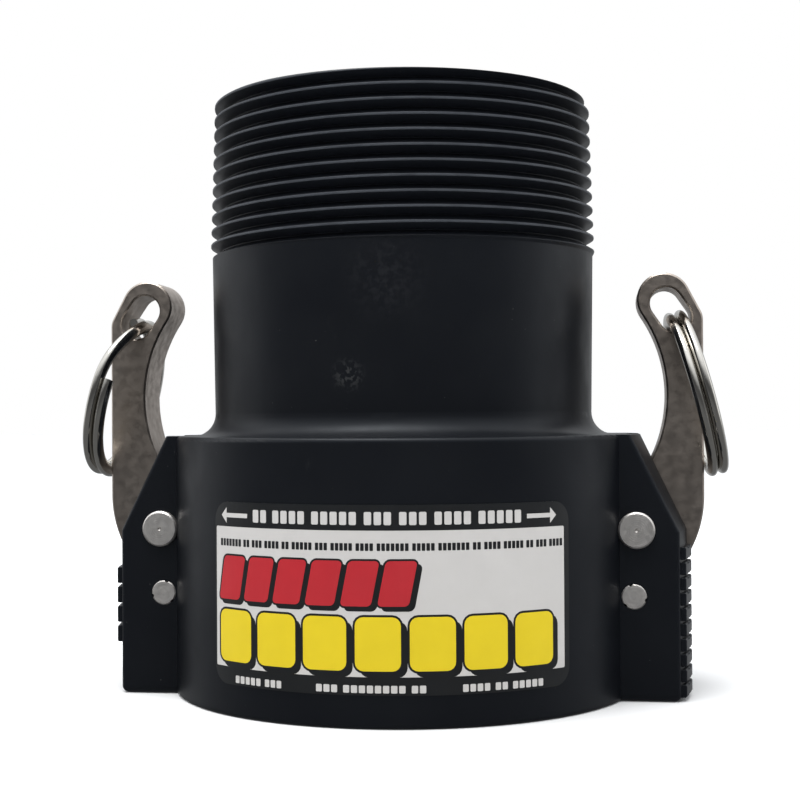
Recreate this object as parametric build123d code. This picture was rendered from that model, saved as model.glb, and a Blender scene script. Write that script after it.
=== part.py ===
"""Cam-and-groove hose coupling, 3 inch: female socket with two locking cam levers, male pipe thread on top.

Millimetres. Origin at the centre of the socket's mouth plane, +Z up the bore towards the thread.
The two ears lie along X; both press pins are pushed in from the -Y side, towards +Y.
The left side is the mirror image of the right.
"""
import os

from build123d import *
from math import acos, atan, atan2, cos, degrees, hypot, radians, sin, sqrt, tan

REACH = 1.0                # how far a cutter or a joined piece runs past the face it has to cross
TOUCH = 0.05               # distance within which two measures count as the same

# Socket and neck, one moulded body
SOCKET_R = 52.4            # outside of the socket
SOCKET_H = 57.8            # shoulder height above the mouth
BORE_R = 46.2              # takes a standard 91.44 mm adapter
MOUTH_CHAMFER = 1.2
NECK_R_LOW = 43.3          # the neck widens upward, as drawn from its mould
NECK_R_HIGH = 43.85
NECK_FILLET = 5.0
EDGE_R = 1.0               # rounding of the socket's two outer rims
WATERWAY_R = 37.0

# Male taper pipe thread, 8 threads per inch, right hand
PITCH = 3.175
TAPER = 1 / 32             # radius lost per mm of height: 1 in 16 on the diameter
TOP_Z = 133.55
THREAD_LENGTH = 34.25
CREST_R_TOP = 43.2
THREAD_DEPTH = 2.3
FLANK = radians(30)        # half of the 60 degree thread angle
ROOT_FLAT = 0.15
GROOVE_START_Z = 98.594    # centre of the groove at the back, where it runs out into the neck
TURNS_PER_CUT = 3
CUTS = 4
CUT_OVERLAP = 1.002
RUN_IN = 0.8               # bevel where the thread blank stands proud of the neck
RIM_CHAMFER = 0.3

# Face gasket in its groove
GASKET_Z = 47.0
GASKET_T = 6.35
GASKET_R_IN = 38.1
GASKET_R_OUT = 47.25
GROOVE_R = 47.45
GASKET_EDGE = 0.6

# Ears: two cheeks each, outer faces concentric with the bore
EAR_R = 64.5
EAR_TOP_R = 54.5
EAR_BREAK_Z = 36.7         # the outer face leans in above this height
EAR_HALF_W = 17.8
CHEEK_Y = 6.5              # inner face of a cheek
EAR_EDGE = 0.9
EAR_CORNER = 1.6
WINDOW = (11.5, 44.5)      # heights of the cam window through the socket wall

# Raised grip ribs on the front cheeks' outer faces
RIB_PROUD = 1.1
RIB_Y = (-16.6, -7.4)
RIGHT_RIBS = dict(count=10, top=32.0, pitch=3.3, height=2.7)
LEFT_RIBS = dict(count=4, top=26.4, pitch=4.4, height=3.6)
RIB_EDGE = 0.4

# Cam lever, closed, in the XZ plane; pivot and lock pin axes run along Y
PIVOT = (52.3, 22.7)
LOCK = (52.9, 37.1)
LEVER_HALF_T = 6.2
LEVER_EDGE = 0.4
HUB_R = 6.0
CAM_R = 7.6
CAM_OFFSET = 4.0
CAM_ANGLE = radians(150)
PIVOT_HOLE_R = 2.82
GRIP_X = 68.2              # straight outer edge of the handle
GRIP_ARC_R = 26.0          # lower outer curve, tangent to that edge
GRIP_ARC_Z = 44.0
GRIP_ARC_END = (64.7, 31.1)
GRIP_CORNER = (68.2, 84.3)
GRIP_CORNER_R = 4.0
WAIST = (27.7, 66.6)       # centre of the hollow inner edge
WAIST_R = 32.4
HEAD_R = 5.95
HEAD_ANGLE = radians(33.7)
WAIST_END = radians(-38.6)
HOOK_R = 21.2              # about the pivot
HOOK_X = 46.5
KEYHOLE_R = 4.15
THROAT_HALF = 2.7
RING_EYE = (62.15, 84.0)   # lower end of the ring's slot
RING_EYE_TOP = (60.1, 87.0)
RING_EYE_R = 3.55

# Pins
PIVOT_PIN_R = 2.75
PIVOT_SEAT_R = 2.76
PIVOT_PIN_HALF = 18.0
PIVOT_PIN_EDGE = 0.25
DRIVE_GROOVE = 0.45
DRIVE_GROOVE_OUT = 0.05    # the grooves' centres lie this far outside the pin
DRIVE_GROOVE_ANGLE = 225
HEAD_PIN_R = 3.95
HEAD_SEAT_R = 4.0
PIN_PROUD = 1.5
PIN_HEAD_L = 9.3
PIN_HEAD_EDGE = 0.35
PIN_NECK_R = 2.3
LAND_R = 3.7
LAND_SEAT_R = 3.75
LIP_Y = 8.8                # back of the lip that stops the collar
COLLAR_R = 4.75
COLLAR_SEAT_R = 4.8
COLLAR_L = 1.6
STOP_GAP = 0.05
TAIL_R = 2.4
TAIL_L = 1.6
PLUG_L = 1.6
PLUG_EDGE = 0.3
PIN_DIMPLE_R = 0.45

# Press pin spring
SPRING_MEAN_R = 3.5
SPRING_WIRE_R = 0.4
SPRING_TURNS = 3.5
SPRING_GAP = 0.06

# Pull ring: two close turns of flattened wire, hanging through the lever's slot
RING_R = 17.6
RING_WIRE = (1.55, 1.15)   # half widths, along the ring's radius and along its axis
RING_HALF_PITCH = 1.17
RING_DROP = 0.1
RING_LEAN = radians(15)
RING_YAW = radians(2)
RING_JOG = 65.0            # degrees of turn over which the wire crosses from one turn to the next
RIGHT_JOG_START = 200.0
LEFT_JOG_START = 12.0

# Front label, wrapped on the socket
LABEL_T = 0.2
LABEL_Z = (6.8, 44.5)
LABEL_ANGLES = (-41.5, 47.5)
LABEL_CORNER = 4.0


def cylinder_along_y(centre, radius, y0, y1):
    """Solid cylinder on an axis parallel to Y through centre (x, z), from y0 to y1."""
    plane = Plane(origin=(centre[0], y0, centre[1]), x_dir=(1, 0, 0), z_dir=(0, 1, 0))
    return Solid.make_cylinder(radius, y1 - y0, plane)


def block(x0, x1, y0, y1, z0, z1):
    return Solid.make_box(x1 - x0, y1 - y0, z1 - z0, Plane((x0, y0, z0)))


def revolved(points):
    """Solid of revolution about Z from a closed outline of (radius, z) points."""
    outline = Plane.XZ * make_face(Polyline(*points, close=True))
    return revolve(outline, Axis.Z, 360)


def crest_radius(z):
    return CREST_R_TOP + (TOP_Z - z) * TAPER


def mirrored(shape):
    return mirror(shape, about=Plane.YZ)


# Body

def threaded_neck():
    """Neck and thread on one blank: the blank runs past the rim while the groove is cut, then is trimmed."""
    thread_z = TOP_Z - THREAD_LENGTH
    blank_top = GROOVE_START_Z + PITCH * (TURNS_PER_CUT * CUTS + 1)
    blank = revolved([
        (0, GASKET_Z), (NECK_R_LOW, GASKET_Z), (NECK_R_LOW, SOCKET_H), (NECK_R_HIGH, thread_z - RUN_IN),
        (crest_radius(thread_z), thread_z), (crest_radius(blank_top), blank_top), (0, blank_top),
    ])
    for groove in thread_grooves():
        blank -= groove
    side = CREST_R_TOP + REACH
    return blank - revolved([
        (0, TOP_Z), (CREST_R_TOP - RIM_CHAMFER, TOP_Z), (side, TOP_Z - RIM_CHAMFER - REACH),
        (side, blank_top + REACH), (0, blank_top + REACH),
    ])


def socket():
    """Outside of the socket, with a short stub of the neck filleted onto its shoulder."""
    stub_top = SOCKET_H + NECK_FILLET + REACH
    slope = (NECK_R_HIGH - NECK_R_LOW) / (TOP_Z - THREAD_LENGTH - RUN_IN - SOCKET_H)
    outside = revolved([
        (0, 0), (SOCKET_R, 0), (SOCKET_R, SOCKET_H), (NECK_R_LOW, SOCKET_H),
        (NECK_R_LOW + slope * (stub_top - SOCKET_H), stub_top), (0, stub_top),
    ])
    rims = outside.edges().filter_by(GeomType.CIRCLE)
    outer_rims = [e for e in rims if abs(e.radius - SOCKET_R) < TOUCH]
    root = [e for e in rims if abs(e.radius - NECK_R_LOW) < TOUCH and abs(e.center().Z - SOCKET_H) < TOUCH]
    outside = fillet(root, NECK_FILLET)
    return fillet(outside.edges().filter_by(lambda e: any(same_circle(e, r) for r in outer_rims)), EDGE_R)


def bore():
    """Everything hollow on the axis: mouth, socket bore, gasket groove and waterway."""
    groove_top = GASKET_Z + GASKET_T
    return revolved([
        (0, -REACH), (BORE_R + MOUTH_CHAMFER + REACH, -REACH), (BORE_R, MOUTH_CHAMFER), (BORE_R, GASKET_Z),
        (GROOVE_R, GASKET_Z), (GROOVE_R, groove_top), (WATERWAY_R, groove_top),
        (WATERWAY_R, TOP_Z - RIM_CHAMFER), (WATERWAY_R + 2 * RIM_CHAMFER, TOP_Z + RIM_CHAMFER),
        (0, TOP_Z + RIM_CHAMFER),
    ])


def same_circle(edge, other):
    if edge.geom_type != GeomType.CIRCLE:
        return False
    return abs(edge.radius - other.radius) < TOUCH and abs(edge.center().Z - other.center().Z) < TOUCH


def thread_grooves():
    """The helical V of the thread, a few turns at a time, starting at the back."""
    over = 0.25
    flat = ROOT_FLAT / 2
    open_half = flat + (THREAD_DEPTH + over) * tan(FLANK)
    section = make_face(Polyline(
        (-THREAD_DEPTH, -flat), (-THREAD_DEPTH, flat), (over, open_half), (over, -open_half), close=True))
    for cut in range(CUTS):
        z = GROOVE_START_Z + cut * PITCH * TURNS_PER_CUT
        path = Helix(PITCH, PITCH * TURNS_PER_CUT * CUT_OVERLAP, crest_radius(z), center=(0, 0, z),
                     cone_angle=-degrees(atan(TAPER)))
        start = Plane(origin=path @ 0, x_dir=(1, 0, 0), z_dir=(0, -1, 0))
        yield Rot(0, 0, 90) * sweep(start * section, path=path, is_frenet=True)


def ear():
    """Right ear before its holes: a block under the concentric outer face, split into two cheeks."""
    envelope = revolved([(0, 0), (EAR_R, 0), (EAR_R, EAR_BREAK_Z), (EAR_TOP_R, SOCKET_H), (0, SOCKET_H)])
    far = EAR_R + REACH
    solid = envelope & block(BORE_R + REACH, far, -EAR_HALF_W, EAR_HALF_W, 0, SOCKET_H)
    sides = [e for e in solid.edges() if abs(e.center().Y) > EAR_HALF_W - TOUCH]
    outer = [e for e in sides if e.center().X > SOCKET_R + REACH and TOUCH < e.center().Z < SOCKET_H - TOUCH]
    solid = fillet(outer, EAR_EDGE)
    bottom = [e for e in solid.edges() if abs(e.center().Z) < TOUCH and e.center().X > EAR_R - 2 * EAR_CORNER]
    solid = fillet(bottom, EAR_CORNER)
    slot = block(BORE_R, far, -CHEEK_Y, CHEEK_Y, -REACH, SOCKET_H + REACH)
    return solid - slot


def ribs(count, top, pitch, height):
    """Raised bars on the right front cheek, following its curved outer face."""
    inner = EAR_R - REACH
    face = EAR_R + RIB_PROUD
    ring = revolved([(inner, 0), (face, 0), (face, SOCKET_H), (inner, SOCKET_H)])
    bars = []
    for i in range(count):
        z = top - i * pitch
        bar = ring & block(SOCKET_R, face + REACH, RIB_Y[0], RIB_Y[1], z - height / 2, z + height / 2)
        outer = [e for e in bar.edges() if hypot(e.center().X, e.center().Y) > face - RIB_EDGE / 2]
        bars.append(fillet(outer, RIB_EDGE))
    return bars


def ear_cutters():
    """Window and pin holes on the right side."""
    past = EAR_HALF_W + REACH
    inside = sqrt(BORE_R**2 - CHEEK_Y**2) - REACH
    yield block(inside, SOCKET_R + REACH, -CHEEK_Y, CHEEK_Y, *WINDOW)
    yield cylinder_along_y(PIVOT, PIVOT_SEAT_R, -past, past)
    yield cylinder_along_y(LOCK, HEAD_SEAT_R, -past, 0)
    yield cylinder_along_y(LOCK, LAND_SEAT_R, 0, LIP_Y + REACH)
    yield cylinder_along_y(LOCK, COLLAR_SEAT_R, LIP_Y, past)


def coupler_body():
    right = ear()
    body = socket() + right + mirrored(right)
    for bar in ribs(**RIGHT_RIBS):
        body += bar
    for bar in ribs(**LEFT_RIBS):
        body += mirrored(bar)
    body += threaded_neck()
    body -= bore()
    for cutter in ear_cutters():
        body = body - cutter - mirrored(cutter)
    return body


def gasket():
    ring = revolved([
        (GASKET_R_IN, GASKET_Z), (GASKET_R_OUT, GASKET_Z),
        (GASKET_R_OUT, GASKET_Z + GASKET_T), (GASKET_R_IN, GASKET_Z + GASKET_T),
    ])
    return fillet(ring.edges().filter_by(GeomType.CIRCLE), GASKET_EDGE)


# Cam lever

def on_circle(centre, radius, angle):
    return centre[0] + radius * cos(angle), centre[1] + radius * sin(angle)


def tangent_from(point, centre, radius, side):
    """Point where a line from point touches the circle; side +1 or -1 picks which of the two."""
    away = atan2(point[1] - centre[1], point[0] - centre[0])
    half = acos(radius / hypot(point[0] - centre[0], point[1] - centre[1]))
    return on_circle(centre, radius, away + side * half)


def lever_outline():
    """Face in the XZ plane, drawn as (x, z)."""
    head = on_circle(WAIST, WAIST_R + HEAD_R, HEAD_ANGLE)
    head_in = on_circle(WAIST, WAIST_R, HEAD_ANGLE)
    head_out = tangent_from(GRIP_CORNER, head, HEAD_R, +1)
    head_top = on_circle(head, HEAD_R, radians(110))
    waist_low = on_circle(WAIST, WAIST_R, WAIST_END)
    waist_mid = on_circle(WAIST, WAIST_R, 0)
    grip_low = (GRIP_X, GRIP_ARC_Z)
    hook_top = PIVOT[1] + sqrt(HOOK_R**2 - (waist_low[0] - PIVOT[0])**2)
    hook_tip = PIVOT[1] + sqrt(HOOK_R**2 - (HOOK_X - PIVOT[0])**2)
    heel = tangent_from(GRIP_ARC_END, PIVOT, HUB_R, -1)
    cam = on_circle(PIVOT, CAM_OFFSET, CAM_ANGLE)
    outline = make_face([
        Line(heel, GRIP_ARC_END),
        RadiusArc(GRIP_ARC_END, grip_low, -GRIP_ARC_R),
        Line(grip_low, GRIP_CORNER),
        Line(GRIP_CORNER, head_out),
        ThreePointArc(head_out, head_top, head_in),
        ThreePointArc(head_in, waist_mid, waist_low),
        Line(waist_low, (waist_low[0], hook_top)),
        RadiusArc((waist_low[0], hook_top), (HOOK_X, hook_tip), -HOOK_R),
        Line((HOOK_X, hook_tip), (HOOK_X, cam[1] + CAM_R / 2)),
        Line((HOOK_X, cam[1] + CAM_R / 2), PIVOT),
        Line(PIVOT, heel),
    ])
    corner = outline.vertices().sort_by_distance((*GRIP_CORNER, 0))[0]
    outline = fillet(corner, GRIP_CORNER_R)
    spread = acos((CAM_R - HUB_R) / CAM_OFFSET)
    under = make_face(Polyline(
        cam, on_circle(cam, CAM_R, CAM_ANGLE + spread), on_circle(PIVOT, HUB_R, CAM_ANGLE + spread), PIVOT,
        close=True))
    return outline + under + Pos(*cam) * Circle(CAM_R) + Pos(*PIVOT) * Circle(HUB_R)


def lock_throat():
    """Keyhole round the lock pin, with a curved throat out to the lever's inner edge."""
    travel = hypot(LOCK[0] - PIVOT[0], LOCK[1] - PIVOT[1])
    track = Pos(*PIVOT) * (Circle(travel + THROAT_HALF) - Circle(travel - THROAT_HALF))
    inner_side = Pos(LOCK[0], PIVOT[1]) * Rectangle(travel * 2, travel * 2, align=(Align.MAX, Align.MIN))
    return track & inner_side, Pos(*LOCK) * Circle(KEYHOLE_R)


def ring_slot():
    axis = atan2(RING_EYE_TOP[1] - RING_EYE[1], RING_EYE_TOP[0] - RING_EYE[0])
    length = hypot(RING_EYE_TOP[1] - RING_EYE[1], RING_EYE_TOP[0] - RING_EYE[0])
    middle = ((RING_EYE[0] + RING_EYE_TOP[0]) / 2, (RING_EYE[1] + RING_EYE_TOP[1]) / 2)
    return Pos(*middle) * Rot(0, 0, degrees(axis)) * SlotCenterToCenter(length, 2 * RING_EYE_R)


def cam_lever():
    face = lever_outline()
    for cut in lock_throat():
        face -= cut
    face -= Pos(*PIVOT) * Circle(PIVOT_HOLE_R)
    face -= ring_slot()
    solid = extrude(Plane.XZ * face, LEVER_HALF_T, both=True)
    flat_edges = [e for e in solid.edges() if abs(abs(e.center().Y) - LEVER_HALF_T) < TOUCH]
    return chamfer(flat_edges, LEVER_EDGE)


# Pins and springs

def pivot_pin():
    pin = cylinder_along_y(PIVOT, PIVOT_PIN_R, -PIVOT_PIN_HALF, PIVOT_PIN_HALF)
    pin = chamfer(pin.edges().filter_by(GeomType.CIRCLE), PIVOT_PIN_EDGE)
    for k in range(3):
        at = on_circle(PIVOT, PIVOT_PIN_R + DRIVE_GROOVE_OUT, radians(DRIVE_GROOVE_ANGLE + 120 * k))
        pin -= cylinder_along_y(at, DRIVE_GROOVE, -PIVOT_PIN_HALF - REACH, -CHEEK_Y - REACH)
        pin -= cylinder_along_y(at, DRIVE_GROOVE, CHEEK_Y + REACH, PIVOT_PIN_HALF + REACH)
    return pin


def press_pin():
    """Button head, neck through the lever, locking land, stop collar and spring spigot."""
    front = -EAR_HALF_W - PIN_PROUD
    head_end = front + PIN_HEAD_L
    land = CHEEK_Y
    collar = LIP_Y + STOP_GAP
    tail = collar + COLLAR_L
    head = cylinder_along_y(LOCK, HEAD_PIN_R, front, head_end)
    head = chamfer(head.edges().filter_by(GeomType.CIRCLE), PIN_HEAD_EDGE)
    dimple = Solid.make_sphere(PIN_DIMPLE_R, Plane((LOCK[0], front - PIN_DIMPLE_R / 3, LOCK[1])))
    pin = head - dimple
    pin += cylinder_along_y(LOCK, PIN_NECK_R, head_end - REACH, land + REACH)
    pin += cylinder_along_y(LOCK, LAND_R, land, collar + REACH)
    pin += cylinder_along_y(LOCK, COLLAR_R, collar, tail)
    pin += cylinder_along_y(LOCK, TAIL_R, tail - REACH, tail + TAIL_L)
    return pin


def press_spring():
    start = LIP_Y + STOP_GAP + COLLAR_L + SPRING_WIRE_R + SPRING_GAP
    length = EAR_HALF_W - PLUG_L - SPRING_GAP - SPRING_WIRE_R - start
    centre = (LOCK[0], start, LOCK[1])
    path = Helix(length / SPRING_TURNS, length, SPRING_MEAN_R, center=centre, direction=(0, 1, 0))
    section = Plane(origin=path @ 0, z_dir=path % 0) * Circle(SPRING_WIRE_R)
    return sweep(section, path=path, is_frenet=True)


def rear_plug():
    plug = cylinder_along_y(LOCK, COLLAR_SEAT_R, EAR_HALF_W - PLUG_L, EAR_HALF_W)
    rim = [e for e in plug.edges().filter_by(GeomType.CIRCLE) if e.center().Y > EAR_HALF_W - TOUCH]
    return chamfer(rim, PLUG_EDGE)


# Pull ring

def pull_ring(jog_start):
    """Split ring on the right lever. Angles run round the ring from its top towards the front."""
    down = Vector(sin(RING_LEAN), 0, -cos(RING_LEAN))
    out = Vector(cos(RING_LEAN), 0, sin(RING_LEAN))
    front = Vector(0, -cos(RING_YAW), 0) + out * sin(RING_YAW)
    normal = out * cos(RING_YAW) + Vector(0, sin(RING_YAW), 0)
    eye = Vector(RING_EYE[0], 0, RING_EYE[1])
    centre = eye + down * (RING_R + RING_DROP)

    def at(angle, side):
        a = radians(angle)
        across = normal * (side * RING_HALF_PITCH)
        return centre - down * (RING_R * cos(a)) + front * (RING_R * sin(a)) + across

    def along(angle):
        a = radians(angle)
        return down * sin(a) + front * cos(a)

    first = jog_start + RING_JOG - 360
    last = jog_start + 360
    turn = 360 - RING_JOG
    path = Wire([
        Edge.make_three_point_arc(at(first, -1), at(first + turn / 2, -1), at(jog_start, -1)),
        Edge.make_spline(
            [at(jog_start, -1), at(jog_start + RING_JOG / 2, 0), at(jog_start + RING_JOG, 1)],
            tangents=[along(jog_start), along(jog_start + RING_JOG)]),
        Edge.make_three_point_arc(at(jog_start + RING_JOG, 1), at(last - turn / 2, 1), at(last, 1)),
    ])
    outward = path @ 0 - centre
    outward -= normal * normal.dot(outward)
    section = Plane(origin=path @ 0, x_dir=outward, z_dir=path % 0) * Ellipse(*RING_WIRE)
    return sweep(section, path=path)


# Label

def front_label():
    low, high = LABEL_Z
    start, end = LABEL_ANGLES
    outline = Plane.XZ * make_face(Polyline(
        (SOCKET_R, low), (SOCKET_R + LABEL_T, low), (SOCKET_R + LABEL_T, high), (SOCKET_R, high), close=True))
    patch = revolve(Rot(0, 0, start - 90) * outline, Axis.Z, end - start)
    corners = [e for e in patch.edges() if e.length < 2 * LABEL_T]
    return fillet(corners, LABEL_CORNER)


def main():
    ring_right = pull_ring(RIGHT_JOG_START)
    ring_left = pull_ring(LEFT_JOG_START)
    nodes = {
        "coupler_body": coupler_body(),
        "face_gasket": gasket(),
        "front_label": front_label(),
        "right_pull_ring": ring_right,
        "left_pull_ring": mirrored(ring_left),
    }
    for name, make in (
        ("cam_lever", cam_lever), ("pivot_pin", pivot_pin), ("press_pin", press_pin),
        ("press_spring", press_spring), ("rear_plug", rear_plug),
    ):
        right = make()
        nodes[f"right_{name}"] = right
        nodes[f"left_{name}"] = mirrored(right)
    os.makedirs("parts", exist_ok=True)
    for name, shape in nodes.items():
        export_step(shape, f"parts/{name}.step")
        print(name, "volume", round(shape.volume, 2), "valid", shape.is_valid)


main()
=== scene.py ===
"""Looks for the cam-and-groove coupling: materials, label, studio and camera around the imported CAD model."""

from math import cos, pi, radians, sin

import bmesh
import bpy
from mathutils import Matrix, Vector


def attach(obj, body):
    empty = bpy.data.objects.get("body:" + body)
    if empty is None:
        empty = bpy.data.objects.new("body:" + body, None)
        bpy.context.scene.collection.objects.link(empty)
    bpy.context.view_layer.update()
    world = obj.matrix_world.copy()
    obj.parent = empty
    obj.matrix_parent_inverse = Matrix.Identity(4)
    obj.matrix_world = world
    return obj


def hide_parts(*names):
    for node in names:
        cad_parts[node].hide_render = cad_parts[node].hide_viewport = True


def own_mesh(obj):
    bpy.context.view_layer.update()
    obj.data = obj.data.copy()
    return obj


MM = 0.001

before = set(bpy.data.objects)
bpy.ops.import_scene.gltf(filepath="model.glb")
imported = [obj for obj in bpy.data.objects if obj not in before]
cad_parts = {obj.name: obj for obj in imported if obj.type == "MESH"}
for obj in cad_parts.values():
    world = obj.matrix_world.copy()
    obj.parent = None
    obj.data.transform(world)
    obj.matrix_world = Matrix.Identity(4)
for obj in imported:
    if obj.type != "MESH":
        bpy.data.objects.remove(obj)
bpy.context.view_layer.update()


def link(made):
    bpy.context.scene.collection.objects.link(made)


# Camera

CAMERA_AT = (0.04484, -0.34862, 0.06188)
CAMERA_YAW = radians(7.458)        # turned towards -X
CAMERA_PITCH = radians(0.642)      # tipped up
CAMERA_ROLL = radians(-0.338)
CAMERA_LENS = 68.03                # on the default 36 mm sensor
CAMERA_NEAR = 0.01


def add_camera():
    level = Matrix.Rotation(CAMERA_YAW, 4, "Z") @ Matrix.Rotation(pi / 2 + CAMERA_PITCH, 4, "X")
    camera = bpy.data.cameras.new("camera")
    camera.lens = CAMERA_LENS
    camera.clip_start = CAMERA_NEAR
    holder = bpy.data.objects.new("camera", camera)
    holder.matrix_world = Matrix.Translation(CAMERA_AT) @ level @ Matrix.Rotation(CAMERA_ROLL, 4, "Z")
    link(holder)
    bpy.context.scene.camera = holder


# Studio

FLOOR_R = 6.0
FLOOR_INNER_R = 0.5
FLOOR_COLOUR = (0.93, 0.93, 0.93, 1)
FLOOR_ROUGHNESS = 0.95
FLOOR_SPECULAR = 0.1
DOME_R = 6.5
DOME_STEPS = 24
DOME_RADIANCE = 1.0
AIR_COLOUR = (0.96, 0.98, 1, 1)
AIR_FRONT = 0.09                   # radiance of the air on the label side
AIR_BACK = 0.55                    # behind the part
AIR_ABOVE = 1.5
AIR_BELOW = 0.16
AIR_DEPTH = (-0.8, 0.9)            # y of the direction over which front turns to back
AIR_RISE = (0.15, 0.9)             # z of the direction over which level turns to above
AIR_FALL = (-0.05, -0.5)           # and to below
LIGHT_AIM = (0, 0, 0.06)
SOFTBOXES = (                      # name, place, (width, height), radiance
    ("overhead", (-0.12, -0.15, 1.0), (0.7, 0.5), 7.0),
    ("left_wall", (-1.1, 0.25, 0.35), (0.7, 0.8), 0.6),
    ("right_wall", (1.1, 0.25, 0.35), (0.7, 0.8), 0.7),
)


def round_mesh(name, profile, sides=96):
    """Surface of revolution from (radius, z) points, the first on the axis."""
    mesh = bpy.data.meshes.new(name)
    verts = [(0.0, 0.0, profile[0][1])]
    for r, z in profile[1:]:
        verts += [(r * cos(2 * pi * k / sides), r * sin(2 * pi * k / sides), z) for k in range(sides)]
    faces = [(0, 1 + k, 1 + (k + 1) % sides) for k in range(sides)]
    for ring in range(len(profile) - 2):
        low = 1 + ring * sides
        for k in range(sides):
            j = (k + 1) % sides
            faces.append((low + k, low + sides + k, low + sides + j, low + j))
    mesh.from_pydata(verts, [], faces)
    mesh.polygons.foreach_set("use_smooth", [True] * len(faces))
    return bpy.data.objects.new(name, mesh)


def add_stage():
    """Pale floor, left out of glossy reflections, and a white dome that only the camera sees."""
    floor = round_mesh("studio_floor", [(0.0, 0.0), (FLOOR_INNER_R, 0.0), (FLOOR_R, 0.0)])
    shader = Graph("pale_floor")
    shader.set("Base Color", FLOOR_COLOUR)
    shader.set("Roughness", FLOOR_ROUGHNESS)
    shader.set("Specular IOR Level", FLOOR_SPECULAR)
    floor.data.materials.append(shader.material)
    floor.visible_glossy = False
    turns = [pi * i / DOME_STEPS for i in range(DOME_STEPS)]
    dome = round_mesh("studio_dome", [(DOME_R * sin(a), DOME_R * cos(a)) for a in turns])
    white = Graph("dome_white")
    white.set("Base Color", (0, 0, 0, 1))
    white.set("Specular IOR Level", 0.0)
    white.set("Emission Color", (1, 1, 1, 1))
    white.set("Emission Strength", DOME_RADIANCE)
    dome.data.materials.append(white.material)
    for ray in ("diffuse", "glossy", "transmission", "volume_scatter", "shadow"):
        setattr(dome, f"visible_{ray}", False)
    for thing in (floor, dome):
        link(thing)


def add_softbox(name, at, size, radiance):
    light = bpy.data.lights.new(name, "AREA")
    light.shape = "RECTANGLE"
    light.size, light.size_y = size
    light.energy = radiance * pi * size[0] * size[1]
    lamp = bpy.data.objects.new(name, light)
    lamp.location = at
    lamp.rotation_euler = (Vector(LIGHT_AIM) - Vector(at)).to_track_quat("-Z", "Y").to_euler()
    lamp.visible_camera = False
    link(lamp)


def add_world():
    """Room light by direction: dim on the label side, bright behind and overhead."""
    world = bpy.data.worlds.new("studio_air")
    world.use_nodes = True
    tree = world.node_tree
    g = Graph.on(tree)
    _, y, z = g.parts(g.node("ShaderNodeTexCoord").outputs["Generated"])
    level = g.ramp(y, *AIR_DEPTH, AIR_FRONT, AIR_BACK)
    up = g.ramp(z, *AIR_RISE)
    down = g.ramp(z, *AIR_FALL)
    background = tree.nodes["Background"]
    background.inputs["Color"].default_value = AIR_COLOUR
    g.plug(background.inputs["Strength"], g.between(down, g.between(up, level, AIR_ABOVE), AIR_BELOW))
    bpy.context.scene.world = world


# Material nodes

EDGE_SAMPLES = 6


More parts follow.
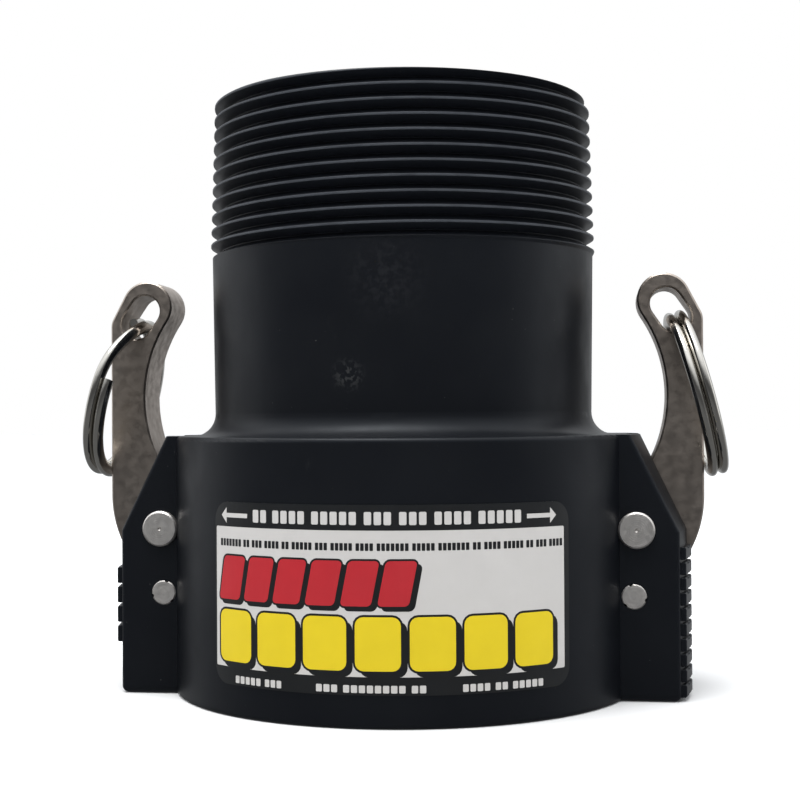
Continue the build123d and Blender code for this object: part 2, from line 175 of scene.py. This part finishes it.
class Graph:
    """A material's nodes round its Principled shader. Textures are placed in the model's own coordinates."""

    @classmethod
    def on(cls, tree):
        """The same helpers on a tree that isn't a material's."""
        made = cls.__new__(cls)
        made.tree = tree
        return made

    def __init__(self, name):
        self.material = bpy.data.materials.new(name)
        self.material.use_nodes = True
        self.tree = self.material.node_tree
        self.shader = self.tree.nodes["Principled BSDF"]
        self.place = self.node("ShaderNodeTexCoord").outputs["Object"]

    def node(self, kind, **settings):
        made = self.tree.nodes.new(kind)
        for key, value in settings.items():
            setattr(made, key, value)
        return made

    def plug(self, socket, value):
        if isinstance(value, bpy.types.NodeSocket):
            self.tree.links.new(value, socket)
        else:
            socket.default_value = value

    def set(self, name, value):
        self.plug(self.shader.inputs[name], value)

    def math(self, operation, *values):
        made = self.node("ShaderNodeMath", operation=operation)
        for socket, value in zip(made.inputs, values):
            self.plug(socket, value)
        return made.outputs[0]

    def between(self, share, first, second):
        """Number between first, at share 0, and second, at share 1."""
        rest = self.math("MULTIPLY", first, self.math("SUBTRACT", 1.0, share))
        return self.math("ADD", rest, self.math("MULTIPLY", share, second))

    def parts(self, vector):
        """The x, y and z of a vector."""
        made = self.node("ShaderNodeSeparateXYZ")
        self.plug(made.inputs[0], vector)
        return made.outputs

    def distance(self, across, up):
        """Distance from the origin in a plane."""
        squares = self.math("ADD", self.math("MULTIPLY", across, across), self.math("MULTIPLY", up, up))
        return self.math("SQRT", squares)

    def noise(self, size, detail=2.0, roughness=0.5, stretch=(1, 1, 1)):
        """Noise from 0 to 1 whose features are about size metres across."""
        scaled = self.node("ShaderNodeMapping")
        self.plug(scaled.inputs["Vector"], self.place)
        scaled.inputs["Scale"].default_value = [s / size for s in stretch]
        made = self.node("ShaderNodeTexNoise")
        self.plug(made.inputs["Vector"], scaled.outputs[0])
        made.inputs["Scale"].default_value = 1.0
        made.inputs["Detail"].default_value = detail
        made.inputs["Roughness"].default_value = roughness
        return made.outputs["Fac"]

    def ramp(self, value, low, high, out_low=0.0, out_high=1.0):
        made = self.node("ShaderNodeMapRange", interpolation_type="SMOOTHSTEP")
        self.plug(made.inputs["Value"], value)
        limits = {"From Min": low, "From Max": high, "To Min": out_low, "To Max": out_high}
        for name, number in limits.items():
            made.inputs[name].default_value = number
        return made.outputs["Result"]

    def mix(self, share, first, second):
        made = self.node("ShaderNodeMix", data_type="RGBA")
        self.plug(made.inputs[0], share)
        self.plug(made.inputs[6], first)
        self.plug(made.inputs[7], second)
        return made.outputs[2]

    def near(self, point, inner, outer):
        """1 within inner metres of a point, falling to 0 at outer."""
        made = self.node("ShaderNodeVectorMath", operation="DISTANCE")
        self.plug(made.inputs[0], self.place)
        made.inputs[1].default_value = point
        return self.ramp(made.outputs["Value"], inner, outer, 1.0, 0.0)

    def soft_edges(self, radius):
        """Normal that rounds the sharp edges by a radius in metres."""
        made = self.node("ShaderNodeBevel", samples=EDGE_SAMPLES)
        made.inputs["Radius"].default_value = radius
        return made.outputs["Normal"]

    def thread_crests(self):
        """1 on the crests of the taper thread and just below them, 0 elsewhere."""
        x, y, z = self.parts(self.place)
        cone = self.math("MULTIPLY_ADD", self.math("SUBTRACT", THREAD_TOP[1], z), THREAD_TAPER, THREAD_TOP[0])
        on_top = self.ramp(self.math("SUBTRACT", self.distance(x, y), cone), *CREST_FADE)
        return self.math("MULTIPLY", on_top, self.ramp(z, *THREAD_START))

    def turned(self, centre, pitch):
        """Rings from 0 to 1 round the axis along Y through centre (x, z), the same on both sides of X = 0."""
        x, _, z = self.parts(self.place)
        across = self.math("SUBTRACT", self.math("ABSOLUTE", x), centre[0])
        up = self.math("SUBTRACT", z, centre[1])
        turns = self.math("MULTIPLY", self.distance(across, up), 2 * pi / pitch)
        return self.math("MULTIPLY_ADD", self.math("SINE", turns), 0.5, 0.5)

    def bump(self, height, depth, under=None):
        """Relief of depth metres from a height of 0 to 1."""
        made = self.node("ShaderNodeBump")
        made.inputs["Strength"].default_value = 1.0
        made.inputs["Distance"].default_value = depth
        self.plug(made.inputs["Height"], height)
        if under is not None:
            self.plug(made.inputs["Normal"], under)
        return made.outputs["Normal"]


def rgb(*parts):
    return (*parts, 1.0)


# Materials: places and sizes in metres

PIVOT = (0.0523, 0.0227)           # axes of the pivot pins and of the press pins, (x, z)
LOCK = (0.0529, 0.0371)
THREAD_TOP = (0.0432, 0.13355)     # crest radius and height at the rim
THREAD_TAPER = 1 / 32              # on the radius
THREAD_START = (0.0990, 0.0996)    # heights over which the painted crest highlight begins
CREST_FADE = (-0.00022, -0.00006)  # depths under the crest over which the painted highlight fades
NECK_RUB = (0.002, -0.0438, 0.0905)      # middle of the rubbed spot on the neck's front
NECK_NICK = (-0.006, -0.0436, 0.0705)    # middle of the pale nick under it


def body_plastic():
    """Satin black moulding: specks of dust, scuffs, two marks on the neck and a painted highlight on the
    thread crests.
    """
    g = Graph("black_plastic")
    tone = g.noise(0.03, detail=3)
    dark = g.mix(tone, rgb(0.0046, 0.0053, 0.0074), rgb(0.0070, 0.0081, 0.0108))
    dust = g.ramp(g.noise(0.0006, detail=1), 0.80, 0.85)
    scuff = g.ramp(g.noise(0.004, detail=5, roughness=0.7, stretch=(1, 1, 0.35)), 0.66, 0.82)
    rubbed = g.math("MULTIPLY", g.near(NECK_RUB, 0.001, 0.011), g.ramp(g.noise(0.0012, detail=5), 0.42, 0.62))
    nick_grain = g.ramp(g.noise(0.0009, detail=4), 0.48, 0.60)
    nick = g.math("MULTIPLY", g.near(NECK_NICK, 0.0005, 0.0045), nick_grain)
    # this colour gathers the real scuffs and neck marks, then a painted highlight on the thread crests
    wear_and_crest_highlight = g.mix(g.math("MULTIPLY", scuff, 0.20), dark, rgb(0.05, 0.05, 0.052))
    wear_and_crest_highlight = g.mix(g.math("MULTIPLY", rubbed, 0.10), wear_and_crest_highlight, rgb(0.05, 0.05, 0.055))
    wear_and_crest_highlight = g.mix(g.math("MULTIPLY", nick, 0.12), wear_and_crest_highlight, rgb(0.22, 0.22, 0.21))
    # painted highlight: the thread crests are painted lighter in place of the overhead light they catch; noise
    # varies its strength
    painted_crest_highlight = g.ramp(g.noise(0.006, detail=3), 0.2, 0.6, 0.55, 0.9)
    wear_and_crest_highlight = g.mix(g.math("MULTIPLY", g.thread_crests(), painted_crest_highlight), wear_and_crest_highlight, rgb(0.055, 0.060, 0.070))
    g.set("Base Color", g.mix(g.math("MULTIPLY", dust, 0.5), wear_and_crest_highlight, rgb(0.16, 0.16, 0.15)))
    rough = g.ramp(g.noise(0.012, detail=4), 0.3, 0.7, 0.34, 0.44)
    g.set("Roughness", g.math("ADD", rough, g.math("MULTIPLY", g.math("MAXIMUM", scuff, rubbed), 0.18)))
    g.set("Specular IOR Level", 0.2)
    g.set("Specular Tint", (0.88, 0.94, 1.0, 1.0))
    grain = g.bump(g.noise(0.0004, detail=2), 0.00001, g.soft_edges(0.0003))
    g.set("Normal", g.bump(g.noise(0.009, detail=2), 0.00005, grain))
    return g.material


def gasket_rubber():
    g = Graph("black_rubber")
    g.set("Base Color", g.mix(g.noise(0.004, detail=4), rgb(0.010, 0.010, 0.010), rgb(0.022, 0.022, 0.021)))
    g.set("Roughness", g.ramp(g.noise(0.0015, detail=3), 0.3, 0.7, 0.62, 0.8))
    g.set("Normal", g.bump(g.noise(0.0003, detail=3), 0.00002))
    return g.material


def lever_steel():
    """Cast steel, mottled and stained, with fine pits."""
    g = Graph("cast_stainless")
    grey = g.mix(g.noise(0.012, detail=4), rgb(0.39, 0.335, 0.290), rgb(0.50, 0.445, 0.40))
    stain = g.ramp(g.noise(0.0025, detail=4, roughness=0.65), 0.58, 0.72)
    g.set("Base Color", g.mix(g.math("MULTIPLY", stain, 0.45), grey, rgb(0.24, 0.205, 0.18)))
    g.set("Metallic", 1.0)
    g.set("Roughness", g.ramp(g.noise(0.002, detail=4), 0.3, 0.7, 0.34, 0.50))
    pits = g.bump(g.noise(0.0006, detail=3), 0.00002, g.soft_edges(0.00018))
    g.set("Normal", g.bump(g.noise(0.004, detail=3), 0.00010, pits))
    return g.material


def pin_steel(name, centre, pitch, rough):
    """Turned end faces: rings round the pin's own axis."""
    g = Graph(name)
    g.set("Base Color", g.mix(g.noise(0.003, detail=4), rgb(0.80, 0.765, 0.73), rgb(0.95, 0.92, 0.89)))
    g.set("Metallic", 1.0)
    g.set("Roughness", g.ramp(g.noise(0.0012, detail=4), 0.3, 0.7, rough, rough + 0.12))
    marks = g.bump(g.turned(centre, pitch), 0.000008)
    g.set("Normal", g.bump(g.noise(0.0006, detail=3), 0.00002, marks))
    return g.material


def ring_steel():
    """Bright wire, nearly smooth."""
    g = Graph("bright_wire")
    g.set("Base Color", g.mix(g.noise(0.006, detail=3), rgb(0.52, 0.50, 0.46), rgb(0.68, 0.66, 0.62)))
    g.set("Metallic", 1.0)
    g.set("Roughness", g.ramp(g.noise(0.003, detail=3), 0.3, 0.7, 0.10, 0.20))
    g.set("Normal", g.bump(g.noise(0.0008, detail=2), 0.000008))
    return g.material


def spring_steel():
    g = Graph("spring_wire")
    g.set("Base Color", g.mix(g.noise(0.002, detail=2), rgb(0.42, 0.42, 0.42), rgb(0.55, 0.55, 0.55)))
    g.set("Metallic", 1.0)
    g.set("Roughness", g.ramp(g.noise(0.001, detail=2), 0.3, 0.7, 0.25, 0.35))
    g.set("Normal", g.bump(g.noise(0.0004, detail=2), 0.000006))
    return g.material


def plug_plastic():
    g = Graph("plug_plastic")
    g.set("Base Color", g.mix(g.noise(0.002, detail=3), rgb(0.008, 0.008, 0.009), rgb(0.014, 0.014, 0.015)))
    g.set("Roughness", g.ramp(g.noise(0.001, detail=3), 0.3, 0.7, 0.42, 0.55))
    g.set("Normal", g.bump(g.noise(0.0004, detail=2), 0.00001))
    return g.material


def print_ink(name, first, second, rough):
    """Glossy print whose colour drifts between two tones."""
    g = Graph(name)
    g.set("Base Color", g.mix(g.noise(0.006, detail=4), rgb(*first), rgb(*second)))
    g.set("Roughness", g.ramp(g.noise(0.004, detail=3), 0.3, 0.7, rough, rough + 0.08))
    g.set("Specular IOR Level", 0.35)
    g.set("Normal", g.bump(g.noise(0.008, detail=2), 0.00002))
    return g.material


def dress(node, material):
    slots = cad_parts[node].data.materials
    slots.clear()
    slots.append(material)


def dress_frame():
    dress("coupler_body", body_plastic())
    dress("face_gasket", gasket_rubber())
    shared = {
        "cam_lever": lever_steel(),
        "pivot_pin": pin_steel("pivot_end", PIVOT, 0.0009, 0.50),
        "press_pin": pin_steel("turned_stainless", LOCK, 0.00045, 0.44),
        "rear_plug": plug_plastic(), "pull_ring": ring_steel(),
    }
    for side in ("right", "left"):
        for part, material in shared.items():
            dress(f"{side}_{part}", material)


# Printed label: flat shapes drawn as (arc, z) in millimetres, wrapped on the socket

SOCKET_R = 52.4
LABEL_R = 52.5                     # radius at which arc lengths are measured
LABEL_BOX = (-38, 43.4, 6.8, 44.5)       # black vinyl: arc from and to, height from and to
LABEL_CORNER = 4
PANEL_BOX = (-37.5, 42, 10.45, 39.4)     # white panel, the same way
PANEL_CORNER = 0.3
ARROW = {"z": 41.75, "shaft": 0.45, "head": 1.6}
ARROWS = ((-27.9, -35.7), (32.5, 39.9))  # arc positions of tail and tip
# Small blocks: arc from and to, blocks in each group, height from and to, gap, corner radius
TOP_ROW = (-26.3, 31.1, (2, 4, 5, 3, 3, 4, 5), 40.5, 43.1, 0.5, 0.3)
PANEL_ROW = (-36, 41.5, (7, 2, 3, 4, 2, 5, 3, 5, 4, 7, 5, 7, 2, 4, 5, 2, 3, 4), 35.4, 36.9, 0.22, 0.12)
BOTTOM_GROUPS = ((-31.4, -19.3, (5, 3)), (-11.4, 10.9, (3, 8, 2)), (18.3, 36.2, (4, 2, 5)))
BOTTOM_SHAPE = (7.3, 8.8, 0.35, 0.2)
RED_ROW = {"count": 6, "start": -35.6, "pitch": 7.55, "width": 6.3, "z0": 24.4, "z1": 33.4,
           "radius": 0.9, "lean": 1.8, "edge": 0.4, "shift": (0.9, -0.8)}
YELLOW_ROW = {"count": 7, "start": -36.1, "pitch": 10.95, "width": 9.2, "z0": 11.6, "z1": 22.3,
              "radius": 1.7, "lean": 0.0, "edge": 0.45, "shift": (1.1, -1.0)}
SHADE_SPREAD = 0.2                 # how far the shade under a large block reaches past its copy
STRIP = 1.5                        # widest flat facet along the arc
GROUP_GAP = 0.55                   # extra space between groups of blocks, in blocks
LAYERS = {"vinyl": 52.53, "panel": 52.55, "shade": 52.565, "ink": 52.58}
BITE = 0.01                        # how far a layer reaches into the one under it


def rounded(x0, x1, z0, z1, radius, lean=0.0, steps=4):
    """Outline of a block with rounded corners; lean moves its top sideways."""
    points = []
    for cx, cz, turn in ((x1, z1, 0), (x0, z1, 1), (x0, z0, 2), (x1, z0, 3)):
        ox = cx - radius if cx == x1 else cx + radius
        oz = cz - radius if cz == z1 else cz + radius
        for i in range(steps + 1):
            a = pi / 2 * (turn + i / steps)
            points.append((ox + radius * cos(a), oz + radius * sin(a)))
    middle = (z0 + z1) / 2
    return [(x + lean * (z - middle) / (z1 - z0), z) for x, z in points]


def arrow(tail, tip, z, shaft, head):
    """Arrow outline from tail to tip along the arc."""
    way = 1 if tip > tail else -1
    neck = tip - way * head
    points = [(tail, z - shaft), (neck, z - shaft), (neck, z - head), (tip, z), (neck, z + head),
              (neck, z + shaft), (tail, z + shaft)]
    return points if way > 0 else points[::-1]


def wrapped(name, outlines, under, over, material):
    """One object of closed thin plates bent round the socket, from radius under to radius over."""
    mesh = bmesh.new()
    for outline in outlines:
        flat = bmesh.new()
        face = flat.faces.new([flat.verts.new((x, 0.0, z)) for x, z in outline])
        face.normal_update()
        low = min(x for x, z in outline)
        high = max(x for x, z in outline)
        cuts = int((high - low) / STRIP)
        for k in range(cuts):
            at = low + (high - low) * (k + 1) / (cuts + 1)
            geometry = flat.verts[:] + flat.edges[:] + flat.faces[:]
            bmesh.ops.bisect_plane(flat, geom=geometry, plane_co=(at, 0, 0), plane_no=(1, 0, 0))
        base = flat.faces[:]
        raised = bmesh.ops.extrude_face_region(flat, geom=base, use_keep_orig=True)
        for vert in (g for g in raised["geom"] if isinstance(g, bmesh.types.BMVert)):
            vert.co.y = 1.0
        bmesh.ops.recalc_face_normals(flat, faces=flat.faces[:])
        for vert in flat.verts:
            radius = (under + (over - under) * vert.co.y) * MM
            angle = vert.co.x / LABEL_R
            vert.co = (radius * sin(angle), -radius * cos(angle), vert.co.z * MM)
        bmesh.ops.recalc_face_normals(flat, faces=flat.faces[:])
        plate = bpy.data.meshes.new("plate")
        flat.to_mesh(plate)
        flat.free()
        mesh.from_mesh(plate)
        bpy.data.meshes.remove(plate)
    data = bpy.data.meshes.new(name)
    mesh.to_mesh(data)
    mesh.free()
    data.materials.append(material)
    made = bpy.data.objects.new(name, data)
    link(made)
    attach(made, "coupler")
    return made


def row(start, end, groups, z0, z1, gap, radius):
    """Blocks in groups between two arc positions, gap apart, with wider gaps between groups."""
    cells = sum(groups) + GROUP_GAP * (len(groups) - 1)
    pitch = (end - start + gap) / cells
    at = start
    blocks = []
    for count in groups:
        for k in range(count):
            blocks.append(rounded(at, at + pitch - gap, z0, z1, radius))
            at += pitch
        at += GROUP_GAP * pitch
    return blocks


def grown(x0, x1, z0, z1, radius, lean, by, shift=(0, 0)):
    """A block's outline, by millimetres larger all round and shifted: its dark edge or its shadow."""
    dx, dz = shift
    return rounded(x0 - by + dx, x1 + by + dx, z0 - by + dz, z1 + by + dz, radius + by, lean)


def large_blocks(count, start, pitch, width, z0, z1, radius, lean, edge, shift):
    """A row of large blocks, and under them the dark edge and the shifted shade of each."""
    blocks, under = [], []
    for k in range(count):
        x0 = start + pitch * k
        box = (x0, x0 + width, z0, z1, radius)
        blocks.append(rounded(*box, lean))
        under += [grown(*box, lean, edge), grown(*box, lean, SHADE_SPREAD, shift)]
    return blocks, under


def add_label():
    ink_black = print_ink("label_black_ink", (0.0095, 0.0105, 0.0115), (0.014, 0.015, 0.0165), 0.30)
    ink_white = print_ink("label_white_ink", (0.51, 0.495, 0.48), (0.56, 0.545, 0.53), 0.38)
    ink_red = print_ink("label_red_ink", (0.40, 0.009, 0.017), (0.47, 0.013, 0.022), 0.40)
    ink_yellow = print_ink("label_yellow_ink", (0.66, 0.50, 0.002), (0.74, 0.565, 0.004), 0.40)
    vinyl, panel, shade, ink = (LAYERS[k] for k in ("vinyl", "panel", "shade", "ink"))
    backing = wrapped("label_vinyl", [rounded(*LABEL_BOX, LABEL_CORNER, steps=8)], SOCKET_R, vinyl, ink_black)
    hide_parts("front_label")
    wrapped("label_panel", [rounded(*PANEL_BOX, PANEL_CORNER)], vinyl - BITE, panel, ink_white)

    white = [arrow(tail, tip, **ARROW) for tail, tip in ARROWS] + row(*TOP_ROW)
    for group in BOTTOM_GROUPS:
        white += row(*group, *BOTTOM_SHAPE)
    wrapped("label_white_print", white, vinyl - BITE, panel, ink_white)

    red, red_shade = large_blocks(**RED_ROW)
    yellow, yellow_shade = large_blocks(**YELLOW_ROW)
    black = row(*PANEL_ROW) + red_shade + yellow_shade
    wrapped("label_black_print", black, panel - BITE, shade, ink_black)
    wrapped("label_red_print", red, shade - BITE, ink, ink_red)
    wrapped("label_yellow_print", yellow, shade - BITE, ink, ink_yellow)


# Press springs: the CAD coils again, as objects of their own carried by the coupler


def add_springs(material):
    for side, sign in (("right", 1), ("left", -1)):
        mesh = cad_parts[f"{side}_press_spring"].data.copy()
        mesh.materials.clear()
        mesh.materials.append(material)
        coil = bpy.data.objects.new(f"{side}_return_coil", mesh)
        link(coil)
        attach(coil, "coupler")
        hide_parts(f"{side}_press_spring")
        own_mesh(coil)


add_camera()
add_stage()
add_world()
for softbox in SOFTBOXES:
    add_softbox(*softbox)
dress_frame()
add_label()
add_springs(spring_steel())
bpy.context.scene.view_settings.view_transform = "Standard"
